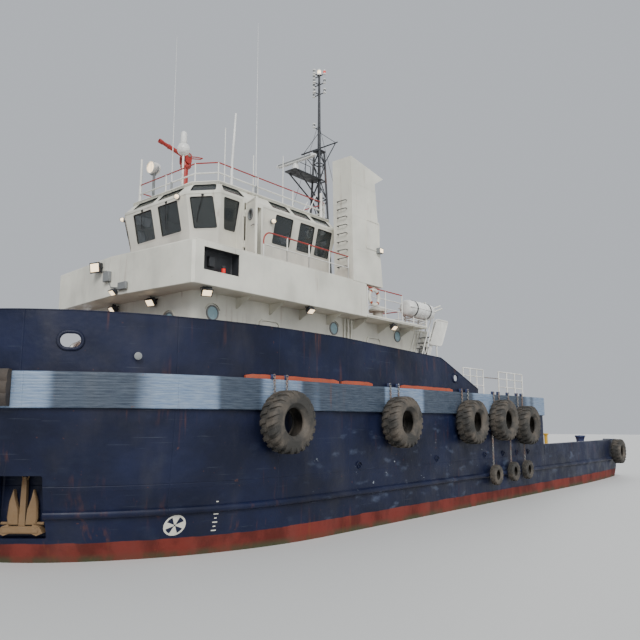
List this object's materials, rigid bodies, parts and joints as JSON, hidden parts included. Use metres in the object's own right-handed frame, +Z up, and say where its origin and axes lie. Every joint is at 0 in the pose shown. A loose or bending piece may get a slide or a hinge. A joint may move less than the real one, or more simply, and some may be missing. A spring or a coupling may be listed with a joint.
{
  "type": "tugboat",
  "caption": "Anchor-handling tug afloat: navy hull with tyre fenders, raised forecastle, wheelhouse, lattice mast, towing winch, low working deck, propellers in nozzles and rudders.",
  "frame": {"origin": "on the centreline amidships, at the waterline at which the hull floats", "axes": "+X forward, +Y to port, +Z up"},
  "size_m": [37.97, 10.9006, 21.9],
  "materials": {
    "hull_paint": "semi-gloss navy, scuffed",
    "red_paint": "matt antifouling red",
    "white_paint": "semi-gloss off-white",
    "deck_paint": "matt red-brown deck paint",
    "dark_paint": "satin near-black",
    "red_lead": "semi-gloss red",
    "yellow_paint": "worn safety yellow",
    "worn_steel": "bare, rubbed and rusty",
    "bronze": "cast bronze",
    "rubber": "matt, weathered",
    "tyre": "matt, weathered",
    "deck_wood": "bare, scored planks",
    "glass": "clear",
    "leather": "black",
    "white_plastic": "glass-fibre white"
  },
  "bodies": {
    "tug": {"hull": "hull_paint", "forecastle_hull": "hull_paint", "forecastle_bulwark": "hull_paint", "aft_bulwark_port": "hull_paint", "aft_bulwark_starboard": "hull_paint", "bow_fender": "rubber", "deck_sheathing": "deck_wood", "shaft_tube_port": "red_paint", "shaft_tube_starboard": "red_paint", "nozzle_port": "red_paint", "nozzle_starboard": "red_paint", "thruster_pod": "red_paint", "anchor_port": "worn_steel", "anchor_starboard": "worn_steel", "fenders_port": "tyre", "fenders_starboard": "tyre", "quarter_tyre_port": "tyre", "quarter_tyre_starboard": "tyre", "deckhouse": "white_paint", "boat_deck": "deck_paint", "bridge_block": "white_paint", "wheelhouse_walls": "white_paint", "wheelhouse_glass": "glass", "wheelhouse_roof": "white_paint", "helm_console": "dark_paint", "helm_chair": "leather", "stack_port": "white_paint", "stack_starboard": "white_paint", "roof_rail": "white_paint", "bridge_rail_port": "white_paint", "bridge_rail_starboard": "white_paint", "guard_frame_port": "white_paint", "guard_frame_starboard": "white_paint", "lattice_mast": "dark_paint", "monitor_stand": "red_lead", "searchlight": "dark_paint", "liferaft_port": "white_plastic", "liferaft_starboard": "white_plastic", "windlass_bed": "hull_paint", "winch_frame": "hull_paint", "tow_pins": "yellow_paint", "capstan_port": "hull_paint", "capstan_starboard": "hull_paint"},
    "propeller_port": {"propeller_port": "bronze"},
    "propeller_starboard": {"propeller_starboard": "bronze"},
    "rudder_port": {"rudder_port": "red_paint"},
    "rudder_starboard": {"rudder_starboard": "red_paint"},
    "thruster_rotor": {"thruster_rotor": "bronze"},
    "bay_door": {"bay_door": "white_paint"},
    "wheelhouse_door_port": {"wheelhouse_door_port": "white_paint"},
    "wheelhouse_door_starboard": {"wheelhouse_door_starboard": "white_paint"},
    "hatch_lid": {"hatch_lid": "hull_paint"},
    "windlass_drums": {"windlass_drums": "worn_steel"},
    "winch_drum": {"winch_drum": "worn_steel"},
    "stern_roller": {"stern_roller": "worn_steel"},
    "radar_scanner": {"radar_scanner": "white_paint"},
    "monitor_head": {"monitor_head": "red_lead"},
    "monitor_barrel": {"monitor_barrel": "red_lead"}
  },
  "joints": [
    {"name": "propeller_port_spin", "type": "hinge", "parent": "tug", "child": "propeller_port", "pos_m": [-14.65, 2.15, -2.29], "axis": [1, 0, 0], "continuous": true},
    {"name": "propeller_starboard_spin", "type": "hinge", "parent": "tug", "child": "propeller_starboard", "pos_m": [-14.65, -2.15, -2.29], "axis": [1, 0, 0], "continuous": true},
    {"name": "rudder_port_turn", "type": "hinge", "parent": "tug", "child": "rudder_port", "pos_m": [-16.9, 2.15, -1], "axis": [0, 0, 1], "range_deg": [-40, 40]},
    {"name": "rudder_starboard_turn", "type": "hinge", "parent": "tug", "child": "rudder_starboard", "pos_m": [-16.9, -2.15, -1], "axis": [0, 0, 1], "range_deg": [-40, 40]},
    {"name": "thruster_spin", "type": "hinge", "parent": "tug", "child": "thruster_rotor", "pos_m": [14.4, 0.3, -2], "axis": [0, 1, 0], "continuous": true},
    {"name": "bay_door_hinge", "type": "hinge", "parent": "tug", "child": "bay_door", "pos_m": [0.775, 1.9, 2.8], "axis": [0, 0, 1], "range_deg": [-110, 0]},
    {"name": "wheelhouse_door_port_hinge", "type": "hinge", "parent": "tug", "child": "wheelhouse_door_port", "pos_m": [11.14, 2.585, 9], "axis": [0, 0, 1], "range_deg": [-2, 108]},
    {"name": "wheelhouse_door_starboard_hinge", "type": "hinge", "parent": "tug", "child": "wheelhouse_door_starboard", "pos_m": [11.14, -2.585, 9], "axis": [0, 0, 1], "range_deg": [0, 90]},
    {"name": "hatch_lid_hinge", "type": "hinge", "parent": "tug", "child": "hatch_lid", "pos_m": [13.83, -2.6, 4.86], "axis": [0, 1, 0], "range_deg": [-100, 0]},
    {"name": "windlass_spin", "type": "hinge", "parent": "tug", "child": "windlass_drums", "pos_m": [15.3, 0, 5.03], "axis": [0, 1, 0], "continuous": true},
    {"name": "winch_drum_spin", "type": "hinge", "parent": "tug", "child": "winch_drum", "pos_m": [-2.6, 0, 2.9], "axis": [0, 1, 0], "continuous": true},
    {"name": "stern_roller_spin", "type": "hinge", "parent": "tug", "child": "stern_roller", "pos_m": [-18.28, 0, 1.38], "axis": [0, 1, 0], "continuous": true},
    {"name": "radar_spin", "type": "hinge", "parent": "tug", "child": "radar_scanner", "pos_m": [6.05, 0, 13.5], "axis": [0, 0, 1], "continuous": true},
    {"name": "monitor_train", "type": "hinge", "parent": "tug", "child": "monitor_head", "pos_m": [10.9, -0.8, 12.2], "axis": [0, 0, 1], "range_deg": [-150, 150]},
    {"name": "monitor_elevate", "type": "hinge", "parent": "monitor_head", "child": "monitor_barrel", "pos_m": [10.9, -0.8, 12.44], "axis": [-0.05, -0.9988, 0], "range_deg": [-28, 40]}
  ]
}
